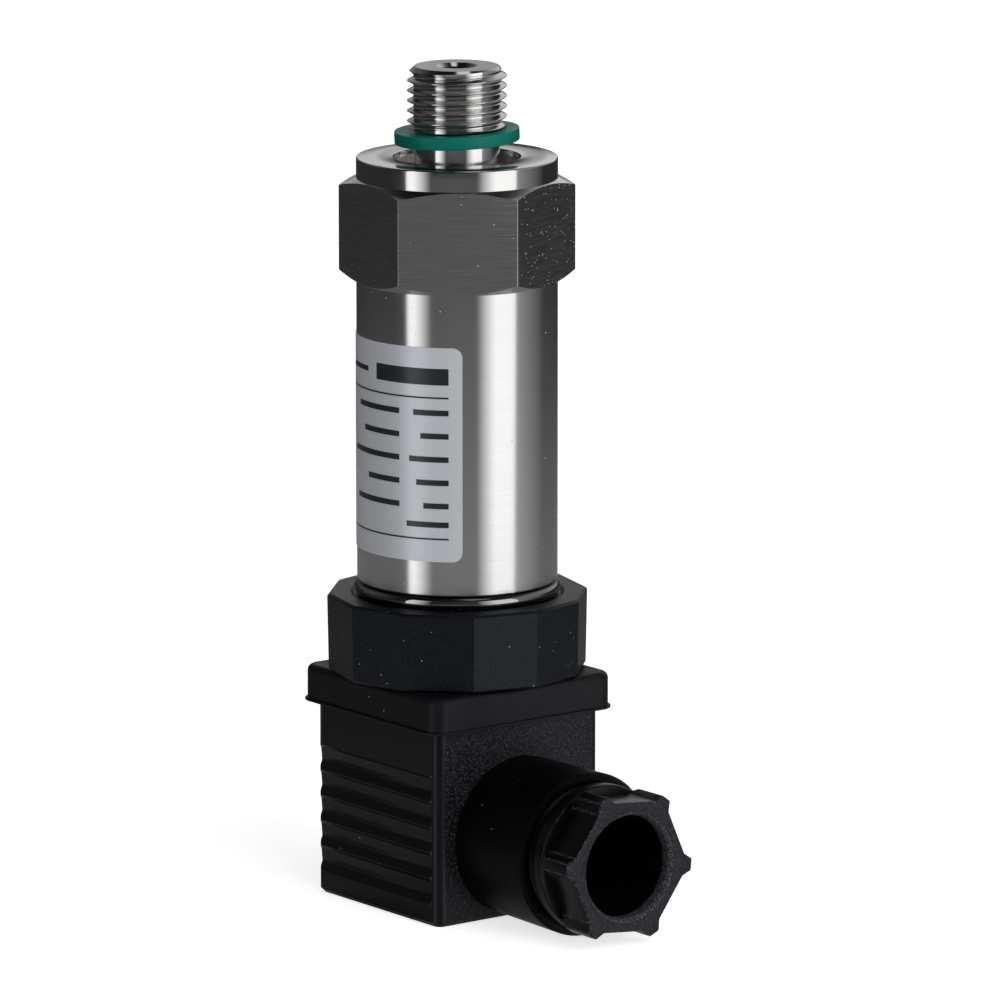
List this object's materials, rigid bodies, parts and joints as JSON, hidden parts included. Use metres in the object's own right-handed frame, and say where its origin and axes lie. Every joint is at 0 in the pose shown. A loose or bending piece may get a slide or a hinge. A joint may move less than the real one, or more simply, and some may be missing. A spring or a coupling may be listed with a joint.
{
  "type": "pressure sensor",
  "caption": "Stainless pressure transmitter with a threaded stud and sealing ring, hexagon, slim body, twelve-sided connector base and a square plug with a side cable gland.",
  "frame": {"origin": "on the sensor's axis, in the plane of the collar's sealing face", "axes": "+Z along the sensor's axis, out of the threaded stud; +X along the cable gland, out of its nut"},
  "size_m": [0.0545, 0.0348, 0.1119],
  "materials": {
    "turned_stainless": "turned and milled, satin",
    "brushed_tube": "fine turned satin",
    "green_seal": "smooth",
    "label_film": "satin film",
    "ceramic": "ground",
    "black_seal": "glossy",
    "tinned_pin": "tinned",
    "circuit_board": "solder mask",
    "brass": "machined",
    "chip_resin": "moulded",
    "capacitor_can": "drawn",
    "base_plastic": "moulded, satin",
    "gasket_rubber": "moulded, satin",
    "plug_plastic": "moulded, grained and smooth faces",
    "insert_plastic": "moulded",
    "plated_steel": "zinc plated",
    "gland_plastic": "moulded, satin",
    "red_wire": "insulation",
    "blue_wire": "insulation",
    "white_wire": "insulation",
    "green_wire": "insulation",
    "tinned_blade": "tinned"
  },
  "bodies": {
    "plug": {"plug_housing": "plug_plastic", "profile_gasket": "gasket_rubber", "contact_insert": "insert_plastic", "first_terminal": "brass", "second_terminal": "brass", "third_terminal": "brass", "earth_terminal": "brass", "terminal_screws": "plated_steel", "cable_grommet": "gasket_rubber"},
    "sensor": {"pressure_port": "turned_stainless", "profile_ring": "green_seal", "body_tube": "brushed_tube", "type_label": "label_film", "sensing_cell": "ceramic", "cell_seal_ring": "black_seal", "cell_retainer": "turned_stainless", "cell_pins": "tinned_pin", "signal_board": "circuit_board", "output_board": "circuit_board", "link_pins": "tinned_pin", "board_spacers": "brass", "amplifier_chip": "chip_resin", "filter_capacitors": "capacitor_can", "chip_resistors": "chip_resin", "connector_base": "base_plastic", "base_seal_ring": "black_seal", "threaded_bush": "brass", "first_lead": "red_wire", "second_lead": "blue_wire", "third_lead": "white_wire", "earth_lead": "green_wire", "first_blade": "tinned_blade", "second_blade": "tinned_blade", "third_blade": "tinned_blade", "earth_blade": "tinned_blade"},
    "washer": {"screw_washer": "plated_steel"},
    "screw": {"fixing_screw": "plated_steel"},
    "clamp": {"clamp_ring": "gland_plastic"},
    "nut": {"gland_nut": "gland_plastic"}
  },
  "joints": [
    {"name": "sensor_lift", "type": "slide", "parent": "plug", "child": "sensor", "axis": [0, 0, 1], "range_m": [0, 0.02]},
    {"name": "screw_travel", "type": "slide", "parent": "plug", "child": "washer", "axis": [0, 0, -1], "range_m": [0, 0.0055]},
    {"name": "screw_turn", "type": "hinge", "parent": "washer", "child": "screw", "pos_m": [0, 0, -0.096], "axis": [0, 0, -1], "range_deg": [0, 3962]},
    {"name": "clamp_travel", "type": "slide", "parent": "plug", "child": "clamp", "axis": [1, 0, 0], "range_m": [-0.00118, 0.00564]},
    {"name": "nut_turn", "type": "hinge", "parent": "clamp", "child": "nut", "pos_m": [0.03, 0, -0.089], "axis": [1, 0, 0], "range_deg": [-302, 1442]}
  ],
  "couplings": [
    {"joint": "screw_turn", "follows": "screw_travel", "rad_per_m": 12566},
    {"joint": "nut_turn", "follows": "clamp_travel", "rad_per_m": 4456.2}
  ]
}
